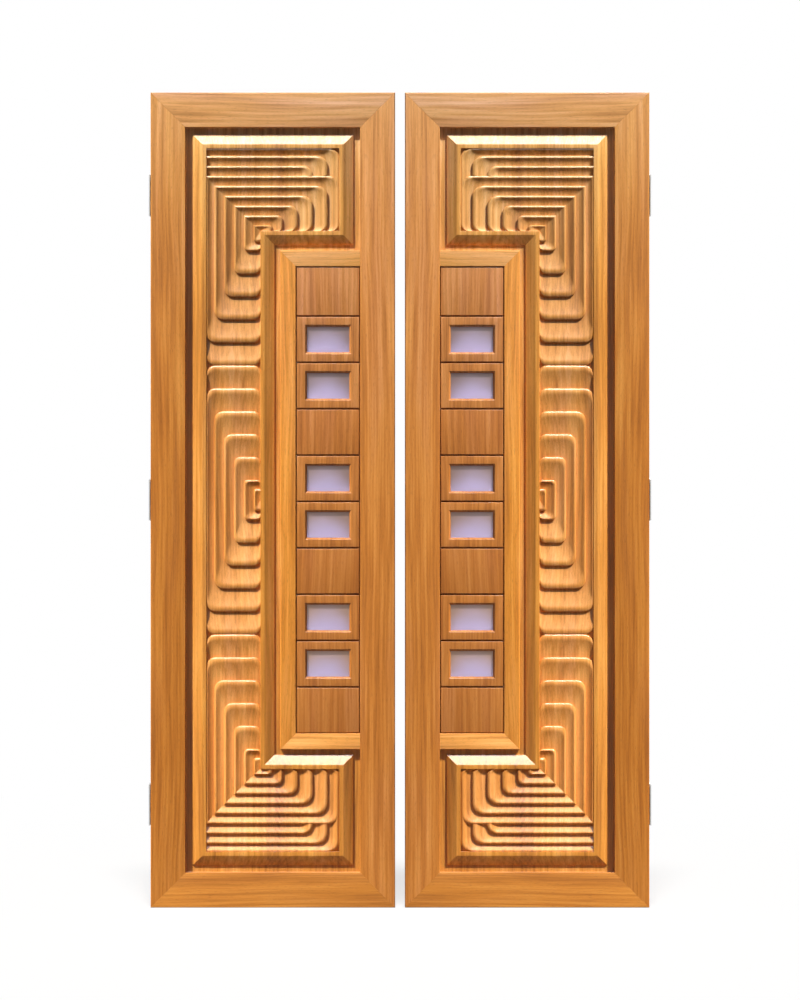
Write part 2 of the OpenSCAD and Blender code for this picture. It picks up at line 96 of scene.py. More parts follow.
def share(name, description, default, most=1.0):
    """A plain number, mostly from 0 to 1."""
    return FloatProperty(name=name, description=description, default=default, min=0, soft_max=most)


def colour(name, description, default):
    """A colour in linear light."""
    return FloatVectorProperty(name=name, description=description, default=default, size=3, min=0,
                               soft_max=1, subtype="COLOR")


class TeakSettings(bpy.types.PropertyGroup):
    """Colour, figure and finish of the teak"""

    tone: share("Tone", "Mean tone on the scale from the dark to the light streaks", 0.52)
    dark: colour("Dark streak", "Teak in the late wood and the mineral streaks", (0.30, 0.092, 0.013))
    middle: colour("Middle", "Teak in most of a board", (0.542, 0.196, 0.033))
    light: colour("Light streak", "Teak in the early wood", (0.715, 0.312, 0.077))
    # At the foot of the hollows this colour is mixed in as painted shade
    pore: colour("Pores", "Teak in its pores and at the foot of the hollows", (0.12, 0.034, 0.006))
    blush: colour("Blush", "What the pinker patches multiply the colour by", (0.97, 0.98, 1.28))
    pale: colour("Paling", "What the colour is multiplied by at the top of a leaf", (1.22, 1.65, 3.6))
    ring_pitch: length("Ring pitch", "Mean width of a growth ring", 0.0062, 0.02)
    fibre_depth: length("Fibre depth", "Depth of the fibres and pores in the surface", 0.00012, 0.001)
    roughness: share("Roughness", "Roughness of the varnish", 0.36)
    matt: share("Matt hollows", "Roughness that the carved hollows add", 0.20)
    # Painted shade: what the colour is multiplied by on the channel floors, where shade falls
    channel: colour("Channel", "What the varnish in the channels multiplies the colour by",
                    (0.80, 0.85, 0.98))
    coat: share("Coat", "Weight of the clear coat", 0.14)
    ease: length("Eased edge", "Width of the eased edges", 0.0006, 0.003)


class CarvingSettings(bpy.types.PropertyGroup):
    """Sizes of the panel and its carved terraces"""

    channel_w: length("Channel", "Channel between the frame and the bevel", 0.017)
    inner_channel_w: length("Inner channel", "Channel between the inner frame and the bevel", 0.0145)
    bevel_w: length("Bevel", "Width of the bevel round the panel", 0.024)
    bevel_step: length("Bevel step", "Height of the step at the foot of the bevel", 0.0043)
    rim_w: length("Rim", "Flat rim between the bevel and the carving", 0.010)
    core_t: length("Core", "Thickness of the panel at its tongue", 0.0096)
    channel_d: length("Channel depth", "Depth of the channel below the face of the tongue", 0.0015)
    carve_d: length("Field depth", "Depth of the carved field below the rim", 0.0095)
    crest_h: length("Crest", "Height of a crest above the floor of the field", 0.0085)
    foot_h: length("Foot", "Height of a foot above the floor of the field", 0.0005)
    roll_w: length("Roll width", "Largest width over which a crest rolls over", 0.016)
    roll_share: share("Roll share", "Share of a terrace's width over which its crest rolls over", 0.28)
    roll_d: length("Roll depth", "Depth over which a crest rolls over", 0.0038)
    hollow: share("Hollow", "Power of the hollow rise to a crest", 1.8, 4.0)
    crest_start: length("First crest", "First crest from the middle of its motif", 0.014)
    hinge_shift: length("Hinge-side shift", "How much further crests reach to the hinge side", 0.0025)
    crest_pitch: length("Crest pitch", "Spacing of the crests up and to the hinge side", 0.0243)
    side_start: length("Side start", "Imaginary first crest to the meeting side", 0.018)
    side_pitch: length("Side pitch", "Spacing of the crests on the meeting side", 0.0368)
    eye_w: length("Eye width", "Width of the eye in the corner motifs", 0.029)
    eye_h: length("Eye height", "Half height of the eye in each motif", 0.0275)
    first_reach: share("First reach", "Share of an arm's half that its second crest takes", 0.15)
    turn_r: length("Turn", "Largest radius at the corners of a terrace", 0.024)
    shoulder_r: length("Shoulder", "Largest radius at the upper meeting-side corners", 0.027)
    end_r: length("End", "Largest radius where a terrace ends against the rim", 0.018)
    end_share: share("End share", "Share of a crest's reach that its end radius takes", 0.25)
    arris_r: length("Arris", "Rounding of the rim's edges", 0.0012)
    root: length("Root", "Depth to which the terraces are rooted in the field", 0.001)


class PaneSettings(bpy.types.PropertyGroup):
    """Look of the frosted panes"""

    # The glass's colour where no shade is painted, the painted shade it turns to towards a pane's top
    # and sides, and a painted warm reflection in the lowest panes
    glow: colour("Glass", "Milky colour of the frosted glass in its lower half", (0.57, 0.50, 0.71))
    shaded_haze: colour("Haze", "Greyer colour of the frosted glass towards its top", (0.26, 0.165, 0.15))
    reflected_low_haze: colour("Low haze", "Warmer haze in the lowest panes", (0.42, 0.26, 0.18))
    roughness: share("Frosting", "Roughness of the etched face", 0.42)
    tooth_depth: length("Tooth depth", "Depth of the etched tooth", 0.0001, 0.001)
    ease: length("Ground edge", "Width of the ground edges", 0.0005, 0.002)


class SteelSettings(bpy.types.PropertyGroup):
    """Look of the hinges"""

    face: colour("Steel", "Colour of the satin steel", (0.58, 0.58, 0.57))
    roughness: share("Satin", "Roughness of the brushed faces", 0.34)
    scratch_depth: length("Scratch depth", "Depth of the brushed scratches", 0.00005, 0.001)


class StageSettings(bpy.types.PropertyGroup):
    """Camera and studio light"""

    distance: length("Camera distance", "From the camera to the face of the door", 8.0, 20.0)
    view_h: length("View height", "Height of the picture at the face of the door", 2.4534, 5.0)
    sensor: FloatProperty(name="Sensor", description="Long side of the sensor in millimetres",
                          default=36.0)
    key: share("Key", "Strength of the key light on each leaf", 6.45, 10.0)
    gloss: share("Gloss light", "Strength of the softbox that the upper bevels mirror", 9.0, 20.0)
    back: share("Back light", "Strength of the light on the backs of the leaves", 3.0, 10.0)
    floor: share("Floor light", "Strength of the light on the floor", 3.6, 10.0)
    ambient: share("Ambient", "Strength of the even light from all round", 0.09, 2.0)


class Wire:
    """A socket's output that can be used in sums. A sum on wires adds its own nodes."""

    def __init__(self, net, socket):
        self.net = net
        self.socket = socket

    def is_vector(self):
        return self.socket.type in {"VECTOR", "RGBA"}

    def __add__(self, other):
        return self.net.maths("ADD", self, other)

    def __radd__(self, other):
        return self.net.maths("ADD", other, self)

    def __sub__(self, other):
        return self.net.maths("SUBTRACT", self, other)

    def __rsub__(self, other):
        return self.net.maths("SUBTRACT", other, self)

    def __mul__(self, other):
        return self.net.maths("MULTIPLY", self, other)

    def __rmul__(self, other):
        return self.net.maths("MULTIPLY", other, self)

    def __truediv__(self, other):
        return self.net.maths("DIVIDE", self, other)

    def __rtruediv__(self, other):
        return self.net.maths("DIVIDE", other, self)

    def __pow__(self, other):
        return self.net.maths("POWER", self, other)


class Net:
    """A node tree that is being wired."""

    def __init__(self, tree):
        self.tree = tree
        self.tree.nodes.clear()

    def node(self, kind, settings=None, sockets=None, out=0):
        """Adds a node, its settings first, then its sockets' values or links. Returns one output."""
        made = self.tree.nodes.new(kind)
        for name, value in (settings or {}).items():
            if name == "stops":
                self.stops(made.color_ramp, value)
            else:
                setattr(made, name, value)
        for name, value in (sockets or {}).items():
            if isinstance(value, Wire):
                self.tree.links.new(value.socket, made.inputs[name])
            else:
                made.inputs[name].default_value = value
        return Wire(self, made.outputs[out]) if len(made.outputs) else None

    @staticmethod
    def stops(ramp, stops):
        """Sets the stops of a colour ramp, each a place and a grey or a colour."""
        while len(ramp.elements) < len(stops):
            ramp.elements.new(0.5)
        for element, (place, tone) in zip(ramp.elements, stops):
            element.position = place
            element.color = (*tone, 1) if hasattr(tone, "__len__") else (tone, tone, tone, 1)

    def maths(self, operation, *terms):
        """A Math node, or a Vector Math node where a term is a vector."""
        vectors = [t for t in terms if isinstance(t, Wire) and t.is_vector()]
        if not vectors:
            return self.node("ShaderNodeMath", {"operation": operation}, dict(enumerate(terms)))
        if operation == "MULTIPLY" and len(vectors) < len(terms):
            factor = next(t for t in terms if t is not vectors[0])
            return self.node("ShaderNodeVectorMath", {"operation": "SCALE"},
                             {"Vector": vectors[0], "Scale": factor})
        return self.node("ShaderNodeVectorMath", {"operation": operation}, dict(enumerate(terms)))

    def split(self, vector):
        """The three parts of a vector."""
        self.node("ShaderNodeSeparateXYZ", None, {"Vector": vector})
        made = self.tree.nodes[-1]
        return [Wire(self, output) for output in made.outputs]

    def join(self, x, y, z):
        """A vector from three parts."""
        return self.node("ShaderNodeCombineXYZ", None, {"X": x, "Y": y, "Z": z})

    def noise(self, x, y, z, detail=2.0, rough=0.5):
        """Smooth noise from 0 to 1, with a cell about one unit wide."""
        return self.node("ShaderNodeTexNoise", {"noise_dimensions": "3D"},
                         {"Vector": self.join(x, y, z), "Scale": 1.0, "Detail": detail,
                          "Roughness": rough}, "Fac")

    def ease(self, value, low, high):
        """Rises smoothly from 0 at low to 1 at high."""
        return self.node("ShaderNodeMapRange", {"interpolation_type": "SMOOTHSTEP"},
                         {"Value": value, "From Min": low, "From Max": high,
                          "To Min": 0.0, "To Max": 1.0})

    def ramp(self, value, stops):
        """A colour ramp."""
        return self.node("ShaderNodeValToRGB", {"stops": stops}, {"Fac": value}, "Color")

    def grey(self, tone):
        """The value of a grey tone, as a number."""
        return self.node("ShaderNodeRGBToBW", None, {"Color": tone})

    def mix(self, factor, first, second, blend="MIX"):
        """Two colours mixed."""
        made = self.tree.nodes.new("ShaderNodeMix")
        made.data_type = "RGBA"
        made.blend_type = blend
        by_name = {s.identifier: s for s in made.inputs}
        for key, value in (("Factor_Float", factor), ("A_Color", first), ("B_Color", second)):
            if isinstance(value, Wire):
                self.tree.links.new(value.socket, by_name[key])
            else:
                by_name[key].default_value = value
        return Wire(self, next(s for s in made.outputs if s.identifier == "Result_Color"))

    def surface(self, settings, **linked):
        """A Principled shader and its output. Constants are set on its sockets."""
        shader = self.node("ShaderNodeBsdfPrincipled", None, {**settings, **linked})
        self.node("ShaderNodeOutputMaterial", None, {"Surface": shader})


def material_net(name):
    """A new material's node tree."""
    material = bpy.data.materials.new(name)
    material.use_nodes = True
    return material, Net(material.node_tree)


# Noises of the figure: cells per metre along and across the grain, octaves and their roughness
FIGURE = {
    "drift": (1.1, 2.0, 1.0, 0.5),
    "sway": (5.0, 9.0, 1.0, 0.5),
    "wander": (2.0, 30.0, 2.0, 0.5),
    "patch": (1.6, 11.0, 2.0, 0.5),
    "streak": (3.0, 95.0, 3.0, 0.6),
    "fibre": (22.0, 850.0, 2.0, 0.6),
    "mineral": (1.4, 60.0, 2.0, 0.5),
    "pore": (75.0, 1300.0, 1.0, 0.5),
    "blush": (2.4, 26.0, 2.0, 0.5),
}
# The noises that show as spots, each with the values where a spot starts and where it is full
SPOTS = {"mineral": (0.64, 0.80), "pore": (0.60, 0.74), "blush": (0.42, 0.72)}
# How far the trunk drifts and sways, in metres, and how many rings the ring lines wander
DRIFT, SWAY, WANDER = 0.05, 0.007, 1.6
# Tone across one growth ring, from its early wood to its late wood
RING_STOPS = [(0.0, 0.62), (0.25, 0.72), (0.7, 0.45), (0.93, 0.12), (1.0, 0.62)]
RING_MEAN = 0.45
# What each part of the figure adds to the tone, the relief and the roughness
TONE = {"patch": 0.85, "streak": 1.20, "fibre": 0.34, "ring": 0.20, "mineral": -0.20}
RELIEF = {"fibre": 0.5, "ring": 0.25, "pore": -0.6}
DULLNESS = {"streak": 0.10, "pore": 0.14, "patch": 0.10}
# Places of the three colours on the scale of tones
DARK_AT, MIDDLE_AT, LIGHT_AT = 0.08, 0.5, 0.92
# How strongly the pores darken the wood, how strongly painted shade darkens the foot of the hollows,
# and how much coat the matt hollows lose
PORE_SHARE, HOLLOW_PAINTED_SHADE, COAT_LOSS = 0.36, 0.15, 0.7
# How late the paling comes on the way up a leaf
PALING_POWER = 6


def figure(net, kind, along, across, deep):
    """One noise of the figure at a place in the log: about 0, or from 0 to 1 if it shows as spots."""
    cells_along, cells_across, octaves, rough = FIGURE[kind]
    noise = net.noise(along * cells_along, across * cells_across, deep * cells_across, octaves, rough)
    return net.ease(noise, *SPOTS[kind]) if kind in SPOTS else noise - 0.5


def weighed(parts, weights, *start):
    """The weighted parts of the figure, added to what the sum starts with."""
    first, *rest = *start, *(parts[kind] * weight for kind, weight in weights.items())
    return sum(rest, first)


def teak(level=False):
    """Teak with its grain upright or level, its rings about a pith that each piece states."""
    name = "teak_level" if level else "teak_upright"
    if name in bpy.data.materials:
        return bpy.data.materials[name]
    wood = bpy.context.scene.door_teak
    material, net = material_net(name)
    x, y, z = net.split(net.node("ShaderNodeTexCoord", None, None, "Object"))
    x = net.maths("ABSOLUTE", x)
    pith = net.node("ShaderNodeAttribute", {"attribute_name": "pith"}, None, "Vector")
    pith_across, pith_deep, pith_along = net.split(pith)
    along = (x if level else z) + pith_along
    across = (z if level else x) - pith_across
    deep = y - pith_deep

    # The trunk wavers slowly, so the rings run out of the face in long points
    drift = figure(net, "drift", along, across, deep)
    sway = figure(net, "sway", along, across, deep)
    across = across + drift * DRIFT + sway * SWAY
    radius = net.maths("SQRT", across * across + deep * deep)
    parts = {kind: figure(net, kind, along, across, deep)
             for kind in ("wander", "patch", "streak", "fibre", "mineral", "pore", "blush")}
    ring = net.maths("FRACT", radius / wood.ring_pitch + parts["wander"] * WANDER)
    parts["ring"] = net.grey(net.ramp(ring, RING_STOPS)) - RING_MEAN

    wood_colour = net.ramp(weighed(parts, TONE, wood.tone),
                           [(DARK_AT, wood.dark), (MIDDLE_AT, wood.middle), (LIGHT_AT, wood.light)])
    wood_colour = net.mix(parts["blush"], wood_colour, (*wood.blush, 1), "MULTIPLY")
    tint = net.node("ShaderNodeAttribute", {"attribute_name": "tint"}, None, "Color")
    wood_colour = net.mix(1.0, wood_colour, tint, "MULTIPLY")
    # Painted shade: one attribute darkens the foot of each carved rise, another the floors of the
    # channels
    hollow, matt, channel = (net.node("ShaderNodeAttribute", {"attribute_name": kind}, None, "Fac")
                             for kind in ("hollow", "matt", "channel"))
    below_top = net.maths("LESS_THAN", z, LEAF_H - wood.ease)
    paling = below_top * (net.maths("MAXIMUM", z, 0.0) / LEAF_H) ** PALING_POWER
    wood_colour = net.mix(paling, wood_colour, (*wood.pale, 1), "MULTIPLY")
    # Painted shade on the channel floors
    wood_colour = net.mix(channel, wood_colour, (*wood.channel, 1), "MULTIPLY")
    # Pores darken the wood, and painted shade darkens the foot of each carved rise
    pores_and_painted_shade = parts["pore"] * PORE_SHARE + hollow * HOLLOW_PAINTED_SHADE
    wood_colour = net.mix(pores_and_painted_shade, wood_colour, (*wood.pore, 1))

    bump = net.node("ShaderNodeBump", None, {"Strength": 0.35, "Distance": wood.fibre_depth,
                                             "Height": weighed(parts, RELIEF)})
    dull = weighed(parts, DULLNESS, wood.roughness + matt * wood.matt)
    net.surface({"Coat Roughness": 0.16, "Specular IOR Level": 0.20},
                **{"Base Color": wood_colour, "Roughness": dull, "Normal": bump,
                   "Coat Weight": wood.coat * (1 - matt * COAT_LOSS)})
    return material


# Clouds of the glass across and up, and its tooth, in cells per metre
CLOUDS_ACROSS, CLOUDS_UP, TOOTH = 16.0, 22.0, 2600.0
# Heights between which the shaded colour turns from the painted warm reflection of the lowest panes to
# the painted grey shade of the others
LOW_HAZE_Z, HIGH_HAZE_Z = 0.6, 1.3
# Painted shade on a pane: its lightest line from its hinge side, and what darkens it: height and
# distance from that line as painted shade, and the clouds
CLEAR_LINE = 0.45
DIM_UP, DIM_ACROSS, DIM_CLOUDS = 0.95, 1.5, 0.25
DIM_START, DIM_FULL = 0.10, 1.05
TOOTH_DULL = 0.12


def frosted_glass():
    """Acid-etched glass: milky, with faint clouds and a fine tooth, painted shade towards the top and
    sides of each pane, and a painted warm reflection in the lowest panes.
    """
    pane = bpy.context.scene.door_pane
    material, net = material_net("frosted_glass")
    x, y, z = net.split(net.node("ShaderNodeTexCoord", None, None, "Object"))
    x = net.maths("ABSOLUTE", x)
    cloud = net.noise(x * CLOUDS_ACROSS, y * CLOUDS_ACROSS, z * CLOUDS_UP) - 0.5
    tooth = net.noise(x * TOOTH, y * TOOTH, z * TOOTH)
    place = net.node("ShaderNodeAttribute", {"attribute_name": "place"}, None, "Vector")
    across, rise, _ = net.split(place)
    # Painted shade: darker up the pane and away from its lightest line, with the clouds mixed in
    shade_and_clouds = rise * DIM_UP + (across - CLEAR_LINE) ** 2 * DIM_ACROSS + cloud * DIM_CLOUDS
    # The shaded colour: painted grey shade in the upper panes, a painted warm reflection in the lowest
    shaded_haze = net.mix(net.ease(z, LOW_HAZE_Z, HIGH_HAZE_Z), (*pane.reflected_low_haze, 1), (*pane.shaded_haze, 1))
    milk = net.mix(net.ease(shade_and_clouds, DIM_START, DIM_FULL), (*pane.glow, 1), shaded_haze)
    bump = net.node("ShaderNodeBump", None,
                    {"Strength": 0.25, "Distance": pane.tooth_depth, "Height": tooth})
    dull = pane.roughness + (tooth - 0.5) * TOOTH_DULL
    net.surface({"IOR": 1.5, "Transmission Weight": 0.6, "Specular IOR Level": 0.4},
                **{"Base Color": milk, "Roughness": dull, "Normal": bump})
    return material


# Scratches and smears of the steel, in cells per metre across and along, and how dull they make it
SCRATCHES_ACROSS, SCRATCHES_ALONG = 4200.0, 60.0
SMEARS_ACROSS, SMEARS_ALONG = 40.0, 30.0
SCRATCH_DULL, SMEAR_DULL = 0.18, 0.12
# Tone of a smear beside the steel's, and how strongly it shows
SMEAR_TONE, SMEAR_SHARE = 0.8, 0.35


def satin_steel():
    """Brushed stainless steel, with its scratches upright."""
    steel = bpy.context.scene.door_steel
    material, net = material_net("satin_steel")
    x, y, z = net.split(net.node("ShaderNodeTexCoord", None, None, "Object"))
    scratch = net.noise(x * SCRATCHES_ACROSS, y * SCRATCHES_ACROSS, z * SCRATCHES_ALONG, 2.0, 0.6)
    smear = net.noise(x * SMEARS_ACROSS, y * SMEARS_ACROSS, z * SMEARS_ALONG)
    smeared = tuple(SMEAR_TONE * c for c in steel.face)
    face = net.mix(smear * SMEAR_SHARE, (*steel.face, 1), (*smeared, 1))
    bump = net.node("ShaderNodeBump", None,
                    {"Strength": 0.2, "Distance": steel.scratch_depth, "Height": scratch})
    dull = steel.roughness + (scratch - 0.5) * SCRATCH_DULL + (smear - 0.5) * SMEAR_DULL
    net.surface({"Metallic": 1.0}, **{"Base Color": face, "Roughness": dull, "Normal": bump})
    return material


def new_object(name, mesh):
    """An object at the origin, in the scene."""
    made = bpy.data.objects.new(name, mesh)
    bpy.context.scene.collection.objects.link(made)
    return made


def spread(mesh, name, kind, value):
    """Gives every point of a mesh the same attribute value."""
    layer = mesh.attributes.new(name, kind, "POINT")
    field = {"FLOAT_VECTOR": "vector", "FLOAT_COLOR": "color"}[kind]
    layer.data.foreach_set(field, list(value) * len(mesh.vertices))


# The frame's planks, each by the draw that puts its pale and dark stretches where they belong
PLANKS = {"hinge_stile": 4, "meeting_stile": 6, "top_rail": 4, "bottom_rail": 3}
# How far the pith may lie beside a piece, behind its face and along its grain, in metres
PITH_BESIDE, PITH_BEHIND, PITH_ALONG = (0.05, 0.16), (0.05, 0.13), (-4.0, 4.0)


def grain_of(name, level, low, high):
    """Where the pith of a piece's log lies, by the piece's own seed: beside it and some way behind."""
    draw = random.Random(f"{name}{PLANKS.get(name, '')}")
    middle = (low + high) / 2
    across = middle.z if level else abs(middle.x)
    way = draw.choice((-1, 1))
    return (across + way * draw.uniform(*PITH_BESIDE), draw.uniform(*PITH_BEHIND),
            draw.uniform(*PITH_ALONG))


def grained(piece, node, level, tint):
    """Gives a wooden piece its pith and its tint. One name is drawn alike on both leaves."""
    low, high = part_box(node)
    spread(piece.data, "pith", "FLOAT_VECTOR", grain_of(node.split("_", 1)[1], level, low, high))
    spread(piece.data, "tint", "FLOAT_COLOR", (*tint, 1))


def settle(piece, side, node, material):
    """Puts a finished piece on its leaf in place of its node."""
    piece.data.materials.clear()
    piece.data.materials.append(material)
    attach(piece, f"{side}_leaf")
    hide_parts(node)


# Angles between faces, in degrees: up to the first they are one face, over the second they are eased
FLAT_ANGLE, EASED_ANGLE = 1, 30
# Angles up to which a piece is shaded smooth
SMOOTH_EASED, SMOOTH_CARVED, SMOOTH_PANEL = 24, 40, 32
# How many times the easing an edge has to be long
LEAST_EDGE = 6


def eased_mesh(node, ease):
    """A copy of a node's mesh with its sharp edges eased."""
    bm = bmesh.new()
    bm.from_mesh(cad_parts[node].data)
    bmesh.ops.remove_doubles(bm, verts=bm.verts, dist=MERGE)
    bmesh.ops.dissolve_limit(bm, angle_limit=math.radians(FLAT_ANGLE), verts=bm.verts, edges=bm.edges)
    sharp = [e for e in bm.edges
             if len(e.link_faces) == 2 and e.calc_face_angle() > math.radians(EASED_ANGLE)
             and e.calc_length() > LEAST_EDGE * ease]
    bmesh.ops.bevel(bm, geom=sharp, offset=ease, segments=2, profile=0.6, affect="EDGES",
                    clamp_overlap=True)
    soften(bm, SMOOTH_EASED)
    mesh = bpy.data.meshes.new(node + "_eased")
    bm.to_mesh(mesh)
    bm.free()
    return mesh


def soften(bm, angle, mitres=()):
    """Smooth shading up to an angle between faces, broken along the mitres."""
    for face in bm.faces:
        face.smooth = True
    for edge in bm.edges:
        edge.smooth = len(edge.link_faces) == 2 and edge.calc_face_angle() < math.radians(angle)
    for edge in mitres:
        edge.smooth = False


def dress(side, name, level=False, tint=(1, 1, 1)):
    """An eased teak piece in place of a node."""
    node = f"{side}_{name}"
    wood = bpy.context.scene.door_teak
    piece = new_object(f"{node}_teak", eased_mesh(node, wood.ease))
    grained(piece, node, level, tint)
    settle(piece, side, node, teak(level))


# Crests of a corner motif, of half the arm, and of the terraces above a corner motif
CORNER_CRESTS, ARM_CRESTS, UPPER_CRESTS = 6, 6, 3
# The corner crest in line with the first of those above
UPPER_FIRST = 3
# Steps of a corner's arc, of the rise to a crest, of its roll and of a rounded arris
ARC_STEPS, RISE_STEPS, ROLL_STEPS, ARRIS_STEPS = 6, 7, 6, 5
# Longest way from an arc to the point that keeps its shading off the straight
GUARD = 0.0015
# Where on its way up the innermost terrace starts, at the eye
EYE_START = 0.5
# The bend of a path, in degrees, from which it is a mitre
MITRE_ANGLE = 60
# Largest share of a section's edge that a rounded arris takes
CUT_SHARE = 0.45


class Carving:
    """Outlines of the panel and its terraces, in u and z, from the settings and the frame."""

    def __init__(self, s):
        self.s = s
        # Edges of the bevel and the field, then the field's sizes about the corner of the mouth
        self.foot_edge = FRAME_W + s.channel_w
        self.field_edge = self.foot_edge + s.bevel_w + s.rim_w
        self.field_notch = s.inner_channel_w + s.bevel_w + s.rim_w
        self.arm_w = BAR_EDGE - self.field_notch - self.field_edge
        self.mouth_h = BAR_TOP + self.field_notch - MID_Z
        self.arm_h = LEAF_H / 2 - self.field_edge - self.mouth_h
        self.shoulder_w = LEAF_W - self.field_edge - (BAR_EDGE - self.field_notch)
        self.split = self.mouth_h / 2
        self.arm_pitch = self.split * (1 - s.first_reach) / (ARM_CRESTS - 1)

    def c_outline(self, edge, notch):
        """A C that opens to the meeting side."""
        near, far = edge, LEAF_W - edge
        low, high = edge, LEAF_H - edge
        back = BAR_EDGE - notch
        mouth_low, mouth_high = LEAF_H - BAR_TOP - notch, BAR_TOP + notch
        return [(near, low), (far, low), (far, mouth_low), (back, mouth_low),
                (back, mouth_high), (far, mouth_high), (far, high), (near, high)]

    def crest(self, j):
        """How far up crest j lies from its eye."""
        return self.s.crest_start + j * self.s.crest_pitch

    def left(self, j):
        """How far crest j reaches to the hinge side."""
        return min(self.crest(j) + self.s.hinge_shift, self.arm_w + self.s.root)

    def side(self, j):
        """How far crest j reaches to the meeting side."""
        if j < 1:
            return self.s.eye_w
        return min(self.s.side_start + j * self.s.side_pitch, self.shoulder_w + self.s.root)

    def arm(self, j):
        """How far crest j reaches along the arm."""
        return self.s.eye_h if j < 1 else self.split - (ARM_CRESTS - j) * self.arm_pitch

    def turn(self, j):
        """Radius of crest j at its corners on the hinge side."""
        return min(self.s.turn_r, self.s.crest_start * (1 / 2 + j / 3))

    def shoulder(self, j):
        """Radius of crest j at its upper corner on the meeting side."""
        return min(self.s.shoulder_r, self.s.crest_start * (1 / 2 + j / 2))

    def end(self, reach):
        """Radius at the end of a crest that reaches so far."""
        return min(self.s.end_r, self.s.end_share * reach)

    def corner_path(self, j):
        """Crest j round the inner corner of the C, from the mouth's rim over the top, down the arm."""
        top, left, right, down = self.crest(j), self.left(j), self.side(j), self.arm(j)
        root, first, last = self.s.root, self.end(top), self.end(left)
        return rounded([(right - first, -root), (right, -root), (right, top), (-left, top),
                        (-left, -down), (root, -down), (root, last - down)],
                       [first, self.shoulder(j), None, self.turn(j), last])

    def middle_path(self, j):
        """Crest j of the middle motif, from the rim round to the rim."""
        left, up, root = self.left(j), self.arm(j), self.s.root
        end = self.end(left)
        return rounded([(root, up - end), (root, up), (-left, up),
                        (-left, -up), (root, -up), (root, end - up)],
                       [end, self.turn(j), self.turn(j), end])

    def closing_path(self, j):
        """The lower side of crest j, from the hinge side's rim to the inner one."""
        left, down, root = self.arm_w + self.s.root, self.arm(j), self.s.root
        turn, end = self.s.turn_r, self.s.end_r
        return rounded([(-left, turn - down), (-left, -down), (root, -down), (root, end - down)],
                       [turn, end])

    def upper_path(self, i):
        """Crest i above the corner motif. Index -1 is the line that it starts from.
        The outermost one reaches down behind the rounded shoulder of the last corner crest."""
        base = self.crest(CORNER_CRESTS - 1)
        left, right = self.arm_w + self.s.root, self.side(UPPER_FIRST + i)
        top = min(base + (i + 1) * self.s.crest_pitch, self.arm_h + self.s.root)
        low = base - (self.s.shoulder_r if UPPER_FIRST + i == CORNER_CRESTS - 1 else 0)
        return rounded([(right, low), (right, top), (-left, top)],
                       [min(self.s.shoulder_r, top - base)])


def rounded(points, radii):
    """An open path whose corners are rounded. A corner with no radius stays sharp.
    Each arc has a point close by on either side, which keeps its shading off the straights."""
    points = [Vector(p) for p in points]
    path = [points[0]]
    for before, corner, after, r in zip(points, points[1:], points[2:], radii):
        if r is None:
            path.append(corner)
            continue
        back, on = (before - corner).normalized(), (after - corner).normalized()
        centre = corner + (back + on) * r
        guard = min(GUARD, r / 4)
        path.append(corner + back * (r + guard))
        for k in range(ARC_STEPS + 1):
            a = math.pi / 2 * k / ARC_STEPS
            path.append(centre - on * r * math.cos(a) - back * r * math.sin(a))
        path.append(corner + on * (r + guard))
    return path + [points[-1]]


def terrace_plan(bm, layers, paths, origin, flip, eye):
    """Adds the flat plan of nested terraces between paths to bm. Every point states the crest line
    inside it, the one outside it, and how far up the rise and round the roll it lies."""
    rows = []
    for k, (inner, outer) in enumerate(zip(paths, paths[1:])):
        start = EYE_START if eye and k == 0 else 0.0
        for rise in range(RISE_STEPS):
            rows.append((inner, outer, rise / (RISE_STEPS - 1), 0.0, start))
        for turn in range(1, ROLL_STEPS + 1):
            rows.append((inner, outer, 1.0, turn / ROLL_STEPS, start))
    rows.append((paths[-1], paths[-1], 0.0, 0.0, 0.0))
    grid = []
    for inner, outer, rise, turn, start in rows:
        line = []
        for a, b in zip(inner, outer):
            spot = [Vector((origin[0] + p.x, 0, origin[1] + flip * p.y)) for p in (a, b)]
            vert = bm.verts.new(spot[0].lerp(spot[1], rise))
            vert[layers["inner"]], vert[layers["outer"]] = spot
            vert[layers["rise"]], vert[layers["roll"]], vert[layers["start"]] = rise, turn, start
            line.append(vert)
        grid.append(line)
    path = paths[-1]
    bends = [i for i in range(1, len(path) - 1)
             if (path[i] - path[i - 1]).angle(path[i + 1] - path[i], 0) > math.radians(MITRE_ANGLE)]
    for low, high in zip(grid, grid[1:]):
        for i in range(len(low) - 1):
            face = bm.faces.new((low[i], low[i + 1], high[i + 1], high[i]))
            for edge in face.edges:
                edge[layers["mitre"]] = edge[layers["mitre"]] or any(
                    set(edge.verts) == {low[k], high[k]} for k in bends if k in (i, i + 1))


# The sizes of a terrace's section that the nodes take
SECTION = ("Floor", "Crest height", "Foot height", "Roll width", "Roll share", "Roll depth", "Hollow")
# Power of a roll's first bend
ROLL_POWER = 1.3
# Share of the way up that gets painted shade, at the foot of the hollow
SHADED_CLIMB = 0.30
# Share of a roll over which the polish comes in, and how much of it
POLISH_TURN, POLISH = 0.4, 1.6


